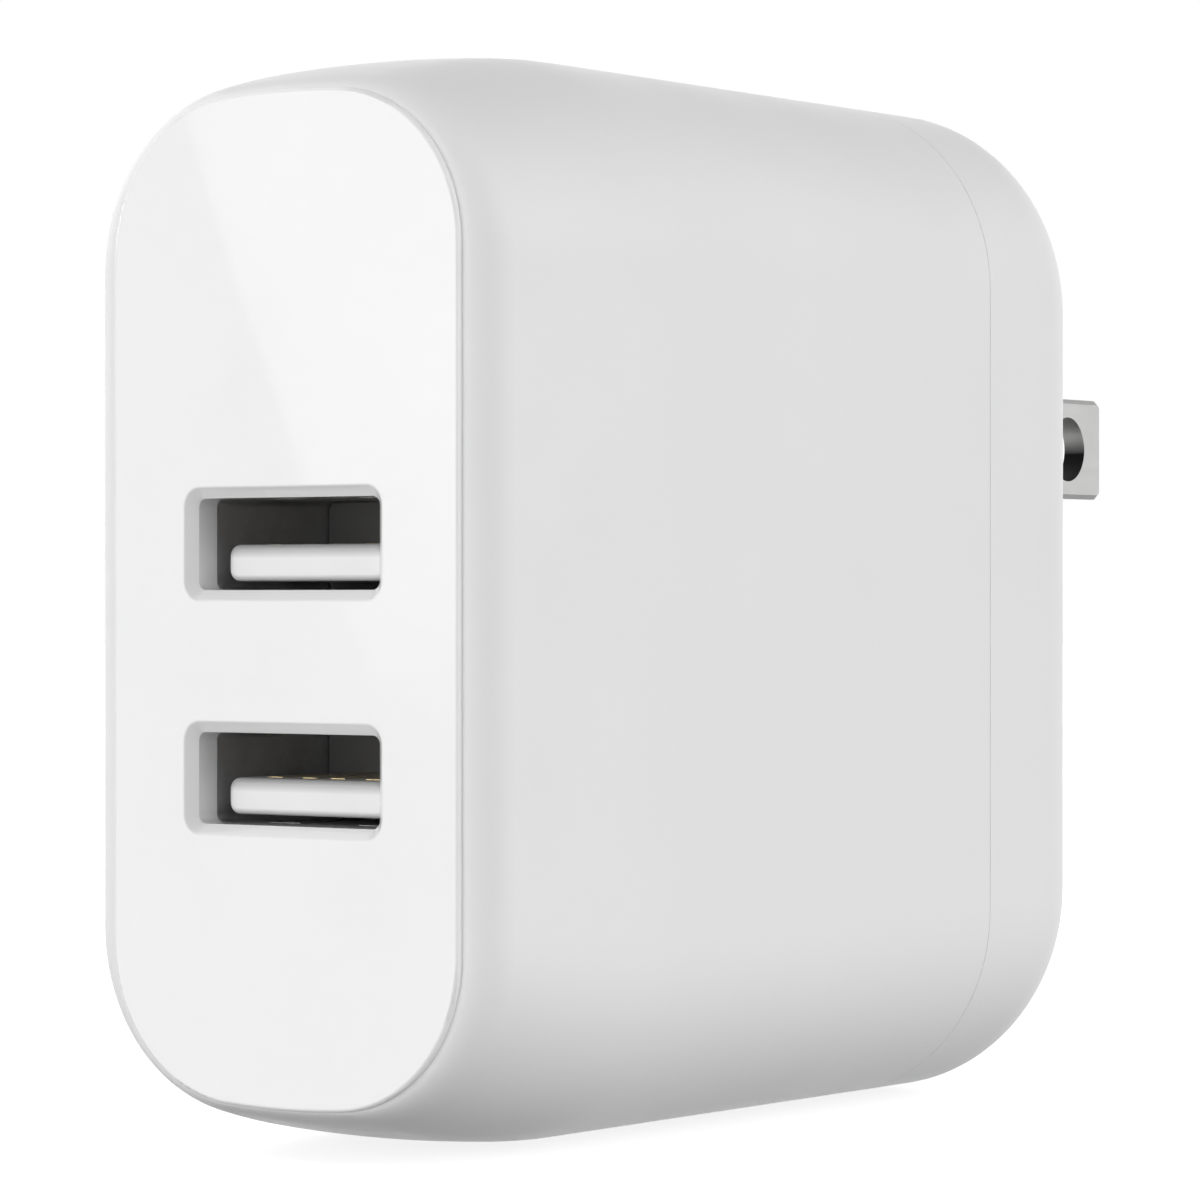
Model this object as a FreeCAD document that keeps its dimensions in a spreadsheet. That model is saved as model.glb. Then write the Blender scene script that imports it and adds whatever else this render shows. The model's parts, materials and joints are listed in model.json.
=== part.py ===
"""Two-port USB wall charger with folding mains blades, as a parametric FreeCAD document.

Frame: millimetres, +X to the charger's right seen from the front, +Z up, and the front face looks
along -Y. The origin is the middle of the flat rear face that meets the wall, so a point "depth" mm
in front of the wall lies at Y = -depth.
"""
import FreeCAD, Part
import math
import os
import Sketcher
from types import SimpleNamespace

DOC = FreeCAD.newDocument("usb_wall_charger")
SHEET = DOC.addObject("Spreadsheet::Sheet", "Sizes")
PARTS_FOLDER = "parts"
SUBPARTS = {}

SIZES = {
    # outer form
    "body_depth": 61.2, "body_width": 32.9, "body_height": 61.6,
    "face_width": 24.5, "face_height": 56.1, "flare_depth": 15.3,
    "brow_depth": 1.7, "brow_side": 1.7, "brow_end": 0.35,
    "back_round_side": 5.6, "back_round_end": 7.8, "wall": 1.7, "back_wall": 2.0,
    "plate_edge": 0.35, "plate_depth": 2.15, "plate_round": 0.2, "fit_gap": 0.05,
    "seam_depth": 13.7, "seam_gap": 0.05, "seam_dip": 0.04, "seam_slack": 0.01,
    "lip_thick": 0.9, "lip_reach": 2.4,
    # sockets
    "port_width": 12.9, "port_height": 5.1, "port_bevel": 0.6, "port_round": 0.5,
    "port_pitch": 13.0, "port_drop": 3.4,
    "shell_height": 5.12, "shell_sheet": 0.3, "shell_depth": 13.0,
    "tab_width": 2.2, "tab_length": 6.5, "tab_slit": 0.35, "tab_place": 3.2,
    "tab_start": 2.0,
    "tongue_width": 11.2, "tongue_thick": 2.05, "tongue_gap": 0.5, "tongue_lead": 0.1,
    "tongue_round": 0.65, "tongue_nose": 0.35, "base_depth": 3.2,
    "contact_width": 1.0, "contact_thick": 0.22, "contact_sunk": 0.2,
    "contact_inner": 1.0, "contact_outer": 3.5, "contact_back": 1.6,
    # blades and their hinge
    "blade_width": 6.6, "blade_thick": 1.5, "blade_gauge": 12.7, "blade_reach": 15.9,
    "blade_round": 0.6, "blade_bevel": 0.3, "blade_hole": 4.2, "blade_hole_inset": 4.4,
    "blade_root": 2.6, "tail_width": 2.4, "tail_reach": 6.3, "tail_round": 0.8,
    "pivot_depth": 3.6, "pivot_rise": 10.0, "rotor_radius": 4.8, "rotor_flat": 3.5,
    "rotor_width": 16.6, "stub_radius": 1.5, "stub_reach": 1.75, "running_gap": 0.05,
    "turn_gap": 0.15, "slot_gap": 0.3, "tail_gap": 0.15, "detent_radius": 0.5,
    "tub_width": 22.0, "tub_depth": 9.3, "tub_below": 22.0, "tub_above": 10.2,
    "scoop_radius": 6.0, "scoop_dip": 3.4, "scoop_rise": 2.6,
    "retainer_thick": 1.6, "bar_width": 6.0, "bar_thick": 1.0, "frame_inset": 0.4,
    "bar_overlap": 1.0, "screw_ease": 0.02, "screw_float": 0.1,
    "screw_place": 8.3, "screw_radius": 0.8, "screw_length": 5.2,
    "screw_head_radius": 1.7, "screw_head": 1.1,
    "leaf_thick": 0.3, "leaf_width": 2.4, "detent_width": 4.0, "wire_radius": 0.6,
    # boards and what stands on them
    "board_thick": 1.2, "board_face": 9.5, "board_back": 13.6, "board_front": 43.0,
    "board_nose": 50.0, "board_half_height": 22.0, "board_step": 10.6,
    "port_board_width": 22.0, "port_board_top": 10.0, "port_board_low": 16.9,
    "core_width": 9.0, "core_height": 21.0, "core_length": 18.4, "core_plate": 3.1,
    "core_leg": 3.0, "core_post": 3.1, "core_split": 0.04,
    "bobbin_flange": 7.2, "bobbin_sheet": 0.9, "bobbin_tube": 3.9, "bobbin_length": 12.0,
    "winding_radius": 6.7, "tape_width": 5.0, "tape_thick": 0.12,
    "transformer_place": 0.3, "transformer_depth": 31.5, "transformer_drop": 5.0,
    "big_can_radius": 5.0, "big_can_length": 20.0, "small_can_radius": 4.0,
    "small_can_length": 14.0, "out_can_radius": 3.9, "out_can_length": 11.0,
    "fuse_radius": 4.1, "fuse_length": 7.5, "coil_radius": 4.5, "coil_length": 9.0,
    "coil_waist": 2.0, "coil_flange": 1.5, "disc_radius": 4.2, "disc_thick": 3.6,
    "spreader_thick": 0.8, "spreader_length": 20.0, "spreader_height": 20.0,
    "sheet_thick": 0.25, "pin_side": 0.6, "pin_pitch": 2.54, "pin_tail": 2.4, "pin_head": 0.4,
    # where each of them stands: across, in front of the wall, and above or below the middle
    "big_can_left": 3.2, "big_can_place": 24.0, "big_can_rise": 17.5,
    "small_can_right": 6.6, "small_can_place": 19.0, "small_can_rise": 16.0,
    "out_can_pitch": 8.3, "out_can_left": 0.25, "out_can_place": 39.0, "out_can_drop": 21.0,
    "disc_place": 20.0, "disc_drop": 9.2, "fuse_place": 19.9, "fuse_rise": 0.6,
    "coil_place": 20.3, "coil_rise": 9.9, "coil_inset": 0.4,
    "spreader_place": 22.0, "spreader_gap": 1.2, "spreader_lip": 3.0, "spreader_drop": 14.0,
    "film_place": 18.0, "film_depth": 24.0, "film_half_height": 20.0, "film_gap": 0.6,
    "resistor_place": 39.2, "resistor_width": 1.2, "resistor_length": 2.0, "resistor_height": 0.5,
    "resistor_pitch": 3.0, "resistor_drop": 14.0,
    "port_chip_left": 5.6, "port_chip_side": 3.0, "port_chip_height": 1.1,
    # bends of the leaf springs, above or below the hinge, and the wires' runs
    "leaf_low": 2.0, "leaf_flat": 3.0, "leaf_knee": 6.2, "leaf_foot": 9.6,
    "detent_foot": 4.4, "detent_knee": 3.2, "detent_crest": 0.8,
    "wire_left_rise": 8.8, "wire_left_depth": 15.8, "wire_right_rise": 7.0,
    "wire_right_depth": 14.5, "wire_bend": 1.4, "solder_gap": 0.15,
    # clearances: drilled slots, pressed fits, and how far a cutting tool runs past
    "drill_slack": 0.15, "press_gap": 0.03, "small_gap": 0.1, "past": 1.0,
}

# Chips on the main board: height off it, near and far depth, low and high edge.
CHIP_SIZES = ("height", "near", "far", "low", "high")
CHIPS = {
    "bridge_rectifier": (2.5, 17.4, 23.4, 16.4, 21.6),
    "primary_controller": (1.7, 17.0, 23.0, -19.6, -14.4),
    "optocoupler": (3.5, 24.6, 31.2, -20.4, -15.9),
    "output_rectifier": (1.5, 32.6, 38.6, -21.2, -16.2),
}
for chip, numbers in CHIPS.items():
    SIZES.update({f"{chip}_{what}": number for what, number in zip(CHIP_SIZES, numbers)})
RESISTORS = 7

# Lengths closer than this are the same when edges are picked out.
SAME = 0.01

# The body outline is a straight-sided oval whose ends are three tangent arcs: two corners and a crown.
CORNER_RATIO = 0.716
CROWN_RATIO = 4.62
FLARE_STATIONS = (0.0, 0.12, 0.28, 0.48, 0.72, 1.0)
ROUND_STATIONS = (0.0, 20.0, 38.0, 54.0, 68.0, 80.0, 90.0)


class Dim:
    """A length that keeps both its number and the sheet expression that gives it."""

    def __init__(self, number, text=None):
        self.number = float(number)
        self.text = text if text else f"{float(number)}"

    def _join(self, other, sign, number):
        return Dim(number, f"({self.text} {sign} {as_dim(other).text})")

    def __add__(self, other):
        return self._join(other, "+", self.number + as_dim(other).number)

    def __sub__(self, other):
        return self._join(other, "-", self.number - as_dim(other).number)

    def __mul__(self, other):
        return self._join(other, "*", self.number * as_dim(other).number)

    def __truediv__(self, other):
        return self._join(other, "/", self.number / as_dim(other).number)

    def __neg__(self):
        return Dim(0) - self

    def __radd__(self, other):
        return as_dim(other) + self

    def __rsub__(self, other):
        return as_dim(other) - self

    def __rmul__(self, other):
        return as_dim(other) * self


def as_dim(value):
    return value if isinstance(value, Dim) else Dim(value)


def fill_sheet():
    """Write every driving size to the sheet and return them as named Dims."""
    for row, (name, number) in enumerate(SIZES.items(), start=1):
        SHEET.set(f"A{row}", name)
        SHEET.set(f"B{row}", str(number))
        SHEET.setAlias(f"B{row}", name)
    DOC.recompute()
    return SimpleNamespace(**{name: Dim(SHEET.get(name), f"Sizes.{name}") for name in SIZES})


d = fill_sheet()


def bind(thing, prop, dim):
    thing.setExpression(prop, as_dim(dim).text)


def keep(thing, node):
    """Name the finished sub-part; its label is its file name."""
    thing.Label = node
    SUBPARTS[node] = thing
    return thing


# ---------------------------------------------------------------- building blocks

def place(thing, x, depth, z):
    bind(thing, "Placement.Base.x", x)
    bind(thing, "Placement.Base.y", -as_dim(depth))
    bind(thing, "Placement.Base.z", z)


def block(name, x_span, depth_span, z_span):
    """A box between two X, two depths in front of the wall, and two heights."""
    box = DOC.addObject("Part::Box", name)
    bind(box, "Length", x_span[1] - as_dim(x_span[0]))
    bind(box, "Width", depth_span[1] - as_dim(depth_span[0]))
    bind(box, "Height", z_span[1] - as_dim(z_span[0]))
    place(box, x_span[0], depth_span[1], z_span[0])
    return box


def rod(name, axis, radius, length, x, depth, z):
    """A cylinder from (x, depth, z) along +X ("X"), towards the front ("front") or up ("Z")."""
    turn = {"X": ((0, 1, 0), 90), "front": ((1, 0, 0), 90), "Z": ((0, 0, 1), 0)}[axis]
    cylinder = DOC.addObject("Part::Cylinder", name)
    cylinder.Placement.Rotation = FreeCAD.Rotation(FreeCAD.Vector(*turn[0]), turn[1])
    bind(cylinder, "Radius", radius)
    bind(cylinder, "Height", length)
    place(cylinder, x, depth, z)
    return cylinder


def fuse(name, *shapes):
    joined = DOC.addObject("Part::MultiFuse", name)
    joined.Shapes = list(shapes)
    joined.Refine = True
    return joined


def cut(name, base, *tools):
    result = DOC.addObject("Part::Cut", name)
    result.Base = base
    result.Tool = tools[0] if len(tools) == 1 else fuse(name + "_tools", *tools)
    return result


def common(name, base, tool):
    result = DOC.addObject("Part::Common", name)
    result.Base = base
    result.Tool = tool
    return result


def group(name, shapes):
    """Separate identical solids that share one node."""
    bundle = DOC.addObject("Part::Compound", name)
    bundle.Links = list(shapes)
    return bundle


def edge_numbers(shape, wanted):
    return [i for i, edge in enumerate(shape.Edges, start=1) if wanted(edge)]


def along(axis):
    """A test for straight edges parallel to one axis."""
    def wanted(edge):
        if not isinstance(edge.Curve, Part.Line):
            return False
        return abs(abs(edge.tangentAt(edge.FirstParameter).dot(axis)) - 1) < 1e-6
    return wanted


def soften(kind, name, base, size, wanted):
    """A Part::Fillet or Part::Chamfer of one size on the edges that pass the test."""
    DOC.recompute()
    result = DOC.addObject(kind, name)
    result.Base = base
    result.Edges = [(i, size.number, size.number) for i in edge_numbers(base.Shape, wanted)]
    return result


X_AXIS = FreeCAD.Vector(1, 0, 0)
Y_AXIS = FreeCAD.Vector(0, 1, 0)
Z_AXIS = FreeCAD.Vector(0, 0, 1)


def sketch_on(body, plane, offset):
    """A sketch on the body's own origin plane, moved along the plane's normal.

    XZ_Plane: u = X, v = Z, normal to the front.  YZ_Plane: u = Y, v = Z, normal +X.
    """
    sketch = body.newObject("Sketcher::SketchObject", body.Name + "_sketch")
    origin_plane = next(f for f in body.Origin.OriginFeatures if f.Role == plane)
    sketch.AttachmentSupport = [(origin_plane, "")]
    sketch.MapMode = "FlatFace"
    bind(sketch, "AttachmentOffset.Base.z", offset)
    return sketch


def dimension(sketch, kind, where, dim):
    """Add one driving dimension and bind it to the sheet."""
    number = sketch.addConstraint(Sketcher.Constraint(kind, *where, as_dim(dim).number))
    sketch.renameConstraint(number, f"size_{number}")
    bind(sketch, f"Constraints.size_{number}", dim)


def polygon(*corners):
    """A closed loop of straight lines through (u, v) corners."""
    def draw(sketch):
        first = sketch.GeometryCount
        count = len(corners)
        points = [FreeCAD.Vector(as_dim(u).number, as_dim(v).number, 0) for u, v in corners]
        for i in range(count):
            sketch.addGeometry(Part.LineSegment(points[i], points[(i + 1) % count]), False)
        for i in range(count):
            following = first + (i + 1) % count
            sketch.addConstraint(Sketcher.Constraint("Coincident", first + i, 2, following, 1))
        for i, (u, v) in enumerate(corners):
            dimension(sketch, "DistanceX", (first + i, 1), u)
            dimension(sketch, "DistanceY", (first + i, 1), v)
    return draw


def rectangle(u_span, v_span):
    return polygon((u_span[0], v_span[0]), (u_span[1], v_span[0]),
                   (u_span[1], v_span[1]), (u_span[0], v_span[1]))


def circle(u, v, radius):
    def draw(sketch):
        centre = FreeCAD.Vector(as_dim(u).number, as_dim(v).number, 0)
        number = sketch.addGeometry(Part.Circle(centre, Z_AXIS, as_dim(radius).number), False)
        dimension(sketch, "Radius", (number,), radius)
        dimension(sketch, "DistanceX", (number, 3), u)
        dimension(sketch, "DistanceY", (number, 3), v)
    return draw


def new_body(name):
    return DOC.addObject("PartDesign::Body", name)


def pad(body, plane, offset, length, *loops):
    """Pad the loops along the plane's normal."""
    sketch = sketch_on(body, plane, offset)
    for draw in loops:
        draw(sketch)
    feature = body.newObject("PartDesign::Pad", body.Name + "_pad")
    feature.Profile = sketch
    bind(feature, "Length", length)
    return feature


def pocket(body, plane, offset, length, *loops):
    """Cut the loops along the plane's normal, and make sure that something was cut."""
    DOC.recompute()
    before = body.Shape.Volume
    sketch = sketch_on(body, plane, offset)
    for draw in loops:
        draw(sketch)
    feature = body.newObject("PartDesign::Pocket", body.Name + "_pocket")
    feature.Profile = sketch
    feature.Reversed = True
    bind(feature, "Length", length)
    DOC.recompute()
    if body.Shape.Volume >= before:
        raise RuntimeError(f"{body.Name}: a pocket cut nothing")
    return feature


def round_edges(body, radius, wanted, kind="PartDesign::Fillet"):
    """Fillet or chamfer the body's edges that pass the test."""
    DOC.recompute()
    base = body.Tip
    feature = body.newObject(kind, body.Name + "_edges")
    feature.Base = (base, [f"Edge{i}" for i in edge_numbers(base.Shape, wanted)])
    bind(feature, "Radius" if kind.endswith("Fillet") else "Size", radius)
    return feature


# ---------------------------------------------------------------- the outer form

def oval_wire(half_width, half_height, depth):
    """The closed outline at one depth: two straight sides joined by three-arc ends."""
    corner = CORNER_RATIO * half_width
    crown = CROWN_RATIO * half_width
    corner_x = half_width - corner
    crown_z = half_height - crown
    corner_z = crown_z + math.sqrt((crown - corner) ** 2 - corner_x ** 2)
    join = math.atan2(corner_z - crown_z, corner_x)

    def arc(cx, cz, radius, start, end):
        turns = (start, (start + end) / 2, end)
        return Part.Arc(*(point(cx + radius * math.cos(a), cz + radius * math.sin(a)) for a in turns))

    def point(x, z):
        return FreeCAD.Vector(x, -depth, z)

    turn = math.pi
    edges = [
        Part.LineSegment(point(half_width, -corner_z), point(half_width, corner_z)),
        arc(corner_x, corner_z, corner, 0, join),
        arc(0, crown_z, crown, join, turn - join),
        arc(-corner_x, corner_z, corner, turn - join, turn),
        Part.LineSegment(point(-half_width, corner_z), point(-half_width, -corner_z)),
        arc(-corner_x, -corner_z, corner, turn, turn + join),
        arc(0, -crown_z, crown, turn + join, 2 * turn - join),
        arc(corner_x, -corner_z, corner, 2 * turn - join, 2 * turn),
    ]
    return Part.Wire([edge.toShape() for edge in edges])


FLARE_START = d.body_depth.number - d.plate_edge.number
FLARE_END = FLARE_START - d.flare_depth.number


def sag(depth, length):
    """How far a quarter-ellipse rounding has dropped, from 1 at its end to 0 at its root."""
    share = min(1.0, max(0.0, 1 - depth / length))
    return 1 - math.sqrt(1 - share * share)


def half_sizes(depth, margin, back):
    """Half width and half height of the form at a depth, taken in by a margin all round."""
    rise = min(1.0, max(0.0, (depth - FLARE_END) / d.flare_depth.number)) ** 2
    brow = sag(FLARE_START - depth, d.brow_depth.number)
    round_side = d.back_round_side.number - margin
    round_end = d.back_round_end.number - back
    rear = sag(depth - back, round_end)
    flare_side = (d.body_width.number - d.face_width.number) / 2 - d.brow_side.number
    flare_end = (d.body_height.number - d.face_height.number) / 2 - d.brow_end.number
    side = rise * flare_side + brow * d.brow_side.number + rear * round_side
    end = rise * flare_end + brow * d.brow_end.number + rear * round_end
    return d.body_width.number / 2 - side - margin, d.body_height.number / 2 - end - margin


def quarter_stations(length):
    """Distances from the end of a quarter-ellipse rounding at which its sections are taken."""
    return [length * (1 - math.cos(math.radians(angle))) for angle in ROUND_STATIONS]


def oval_form(margin, back, front):
    """A solid of the body's shape from the back to the front, taken in by a margin."""
    backs = [back + step for step in quarter_stations(d.back_round_end.number - back)]
    brows = [FLARE_START - step for step in reversed(quarter_stations(d.brow_depth.number))]
    flare_length = d.flare_depth.number - d.brow_depth.number
    flares = [FLARE_END + flare_length * share for share in FLARE_STATIONS]
    runs = [backs, [backs[-1], flares[0]], flares, brows, [brows[-1], front]]
    solids = []
    for run in runs:
        wires = [oval_wire(*half_sizes(depth, margin, back), depth) for depth in run]
        solids.append(Part.makeLoft(wires, True, len(run) == 2))
    return solids[0].fuse(solids[1:]).removeSplitter()


def oval_slab(half_width, half_height, depth_span):
    """A straight-sided slab of the oval outline between two depths."""
    face = Part.Face(oval_wire(half_width, half_height, depth_span[0]))
    return face.extrude(FreeCAD.Vector(0, depth_span[0] - depth_span[1], 0))


def shaped(name, shape):
    feature = DOC.addObject("Part::Feature", name)
    feature.Shape = shape
    feature.Placement = FreeCAD.Placement()
    return feature


OUTER = shaped("outer_form", oval_form(0.0, 0.0, d.body_depth.number))
CAVITY = shaped("cavity_form", oval_form(d.wall.number, d.back_wall.number, d.body_depth.number))
REACH = d.body_height


def zone(name, depth_span):
    """A box wider than the body that picks out one stretch of its depth."""
    return block(name, (-REACH, REACH), depth_span, (-REACH, REACH))


# ---------------------------------------------------------------- casing

PLATE_BACK = d.body_depth - d.plate_depth
HOUSING_FRONT = d.body_depth - d.plate_edge


def port_height_at(upper):
    """Height of one socket's middle."""
    step = d.port_pitch / 2
    return (step if upper else -step) - d.port_drop


def make_front_plate():
    blank = common("plate_blank", OUTER, zone("plate_zone", (HOUSING_FRONT, d.body_depth + d.past)))
    inset = d.wall.number + d.fit_gap.number
    spigot = shaped("plate_spigot", oval_slab(
        d.face_width.number / 2 - inset, d.face_height.number / 2 - inset,
        (PLATE_BACK.number, HOUSING_FRONT.number + d.fit_gap.number)))
    plate = fuse("plate_solid", blank, spigot)
    for upper in (True, False):
        middle = port_height_at(upper)
        opening = block("port_opening", (-d.port_width / 2, d.port_width / 2),
                        (PLATE_BACK - d.past, d.body_depth + d.past),
                        (middle - d.port_height / 2, middle + d.port_height / 2))
        opening = soften("Part::Fillet", "port_opening_round", opening, d.port_round, along(Y_AXIS))
        plate = cut("plate_cut", plate, opening)

    def on_face(edge):
        box = edge.BoundBox
        return abs(box.YMin + d.body_depth.number) < SAME and box.YLength < SAME

    def port_rim(edge):
        middle = edge.CenterOfMass
        return on_face(edge) and abs(middle.x) < d.port_width.number / 2 + SAME \
            and abs(middle.z) < d.port_pitch.number + d.port_drop.number

    def outer_rim(edge):
        return on_face(edge) and not port_rim(edge)

    plate = soften("Part::Chamfer", "plate_bevel", plate, d.port_bevel, port_rim)
    plate = soften("Part::Fillet", "plate_round", plate, d.plate_round, outer_rim)
    keep(plate, "front_plate")


def make_main_housing():
    sleeve = common("sleeve", OUTER, zone("sleeve_zone", (d.seam_depth, HOUSING_FRONT)))
    keep(cut("housing_shell", sleeve, CAVITY), "main_housing")


def cap_lip():
    """The thin collar that slides into the sleeve, its root in the cap's wall and the seam's floor."""
    half_width = d.body_width.number / 2 - d.wall.number
    half_height = d.body_height.number / 2 - d.wall.number
    seam = d.seam_depth.number
    gap = d.fit_gap.number
    thick = d.lip_thick.number + gap
    bite = d.wall.number / 3
    cap_edge = seam - d.seam_gap.number
    root_back = cap_edge - d.lip_reach.number
    collar = oval_slab(half_width - gap, half_height - gap, (root_back, seam + d.lip_reach.number))
    root = oval_slab(half_width + bite, half_height + bite, (root_back, cap_edge))
    full_width = d.body_width.number / 2 - d.seam_dip.number
    full_height = d.body_height.number / 2 - d.seam_dip.number
    shoulder = oval_slab(full_width, full_height, (root_back, seam - d.seam_slack.number))
    bore = oval_slab(half_width - thick, half_height - thick,
                     (root_back - d.past.number, seam + d.lip_reach.number + d.past.number))
    return shaped("cap_lip", collar.fuse([root, shoulder]).cut(bore))


def blade_side(side):
    """X of a blade's inner and outer face, low first; side is -1 or +1."""
    inner = d.blade_gauge / 2 - d.blade_thick / 2
    outer = inner + d.blade_thick
    return (inner, outer) if side > 0 else (-outer, -inner)


def make_rear_cap():
    edge = d.seam_depth - d.seam_gap
    skin = cut("cap_skin", common("cap_blank", OUTER, zone("cap_zone", (-d.past, edge))), CAVITY)
    rise = d.pivot_rise
    tub = block("cap_tub", (-d.tub_width / 2, d.tub_width / 2), (d.back_wall / 2, d.tub_depth),
                (rise - d.tub_below, rise + d.tub_above))
    half_room = d.rotor_width / 2 + d.turn_gap
    room = d.rotor_radius + d.turn_gap
    window = rod("rotor_window", "X", room, half_room * 2, -half_room, d.pivot_depth, rise)
    chamber = block("rotor_chamber", (-half_room, half_room), (d.back_wall, d.tub_depth + d.past),
                    (rise - room, rise + d.tail_reach + d.tail_gap))
    tools = [window, chamber]
    stub_room = d.stub_radius + d.running_gap
    stub_end = d.rotor_width / 2 + d.stub_reach + d.turn_gap
    tools.append(rod("stub_bore", "X", stub_room, stub_end * 2, -stub_end, d.pivot_depth, rise))
    tools.append(block("stub_way", (-stub_end, stub_end), (d.pivot_depth, d.tub_depth + d.past),
                       (rise - stub_room, rise + stub_room)))
    for side in (-1, 1):
        low, high = blade_side(side)
        tools.append(block(
            "blade_slot", (low - d.slot_gap, high + d.slot_gap),
            (-d.past, d.pivot_depth + d.blade_width / 2 + d.slot_gap),
            (rise - d.pivot_depth - d.blade_reach - d.slot_gap,
             rise + d.blade_width / 2 + d.turn_gap)))
    scoop_half = blade_side(1)[0] + d.slot_gap / 2
    scoop_height = rise - d.pivot_depth - d.blade_reach + d.scoop_rise
    tools.append(rod("finger_scoop", "X", d.scoop_radius, scoop_half * 2, -scoop_half,
                     d.scoop_dip - d.scoop_radius, scoop_height))
    for place_z in (rise - d.screw_place, rise + d.screw_place):
        tools.append(rod("screw_pilot", "front", d.screw_radius, d.screw_length, 0,
                         d.tub_depth - d.screw_length + d.retainer_thick, place_z))
    keep(cut("cap_shell", fuse("cap_solid", skin, cap_lip(), tub), *tools), "rear_cap")


# ---------------------------------------------------------------- folding blades

def make_blade(side):
    node = "blade_right" if side > 0 else "blade_left"
    rise = d.pivot_rise
    tip = d.blade_reach
    root = -(d.pivot_depth + d.blade_root)
    tail = -(d.pivot_depth + d.tail_reach)
    wide = d.blade_width / 2
    narrow = d.tail_width / 2
    body = new_body(node + "_body")
    pad(body, "YZ_Plane", blade_side(side)[0], d.blade_thick,
        polygon((tip, rise - wide), (tip, rise + wide), (root, rise + wide),
                (root, rise + narrow), (tail, rise + narrow), (tail, rise - narrow),
                (root, rise - narrow), (root, rise - wide)),
        circle(tip - d.blade_hole_inset, rise, d.blade_hole / 2))

    def tip_corner(edge):
        return along(X_AXIS)(edge) and edge.CenterOfMass.y > tip.number - SAME

    def outside_rim(edge):
        box = edge.BoundBox
        in_face = box.XLength < SAME
        past_rotor = box.YMax > d.blade_round.number
        ring = box.YMax < tip.number - SAME and box.YMin > d.blade_round.number
        return in_face and past_rotor and not ring

    def tail_corner(edge):
        return along(X_AXIS)(edge) and edge.CenterOfMass.y < tail.number + SAME

    round_edges(body, d.blade_round, tip_corner)
    round_edges(body, d.tail_round, tail_corner)
    round_edges(body, d.blade_bevel, outside_rim, "PartDesign::Chamfer")
    return keep(body, node)


def make_blade_rotor(blades):
    rise = d.pivot_rise
    half = d.rotor_width / 2
    drum = rod("rotor_drum", "X", d.rotor_radius, d.rotor_width, -half, d.pivot_depth, rise)
    flats = block("rotor_flats", (-half - d.past, half + d.past),
                  (d.pivot_depth - d.rotor_flat, d.pivot_depth + d.rotor_radius + d.past),
                  (rise - d.rotor_radius - d.past, rise + d.rotor_flat))
    shank = rod("rotor_stubs", "X", d.stub_radius, d.rotor_width + d.stub_reach * 2,
                -half - d.stub_reach, d.pivot_depth, rise)
    solid = fuse("rotor_solid", common("rotor_block", drum, flats), shank)
    groove_offset = d.rotor_radius + d.detent_radius / 2
    groove_half = d.detent_width / 2
    grooves = [
        rod("groove_open", "X", d.detent_radius, groove_half * 2, -groove_half,
            d.pivot_depth + groove_offset, rise),
        rod("groove_folded", "X", d.detent_radius, groove_half * 2, -groove_half,
            d.pivot_depth, rise - groove_offset),
    ]
    keep(cut("rotor_cut", solid, *blades, *grooves), "blade_rotor")


def make_rotor_retainer():
    rise = d.pivot_rise
    back = d.tub_depth + d.fit_gap
    front = back + d.retainer_thick
    half = d.tub_width / 2
    span = d.tub_above - d.fit_gap
    plate = block("retainer_plate", (-half, half), (back, front), (rise - span, rise + span))
    half_open = d.rotor_width / 2 - d.frame_inset
    opening = block("retainer_window", (-half_open, half_open), (back - d.past, front + d.past),
                    (rise - d.rotor_radius - d.turn_gap, rise + d.tail_reach + d.tail_gap))
    bar = block("retainer_bar", (-d.bar_width / 2, d.bar_width / 2), (front - d.bar_thick, front),
                (rise - d.rotor_radius - d.bar_overlap, rise + d.tail_reach + d.bar_overlap))
    pieces = [cut("retainer_frame", plate, opening), bar]
    finger_in = d.rotor_width / 2 + d.turn_gap + d.running_gap
    finger_out = d.rotor_width / 2 + d.stub_reach
    for side in (-1, 1):
        x_span = (finger_in, finger_out) if side > 0 else (-finger_out, -finger_in)
        pieces.append(block("retainer_finger", x_span, (d.pivot_depth, front),
                            (rise - d.stub_radius, rise + d.stub_radius)))
    saddle = rod("saddle", "X", d.stub_radius + d.running_gap, d.tub_width, -half,
                 d.pivot_depth, rise)
    holes = [rod("retainer_hole", "front", d.screw_radius + d.fit_gap,
                 d.retainer_thick + d.past * 2, 0, back - d.past, rise + offset)
             for offset in (-d.screw_place, d.screw_place)]
    keep(cut("retainer_cut", fuse("retainer_solid", *pieces), saddle, *holes), "rotor_retainer")
    screws = []
    for offset in (-d.screw_place, d.screw_place):
        length = d.screw_length - d.screw_float
        shank = rod("screw_shank", "front", d.screw_radius - d.screw_ease, length, 0,
                    front - length, rise + offset)
        head = rod("screw_head_disc", "front", d.screw_head_radius, d.screw_head, 0, front,
                   rise + offset)
        screws.append(fuse("screw", shank, head))
    keep(group("screw_pair", screws), "retainer_screws")


def strip(node, x_low, width, line, thick):
    """A bent leaf: a (depth, height) centre line given thickness along the depth."""
    wall_side = [(-as_dim(depth), z) for depth, z in line]
    room_side = [(-(as_dim(depth) + thick), z) for depth, z in reversed(line)]
    body = new_body(node + "_body")
    pad(body, "YZ_Plane", x_low, width, polygon(*wall_side, *room_side))
    return keep(body, node)


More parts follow.
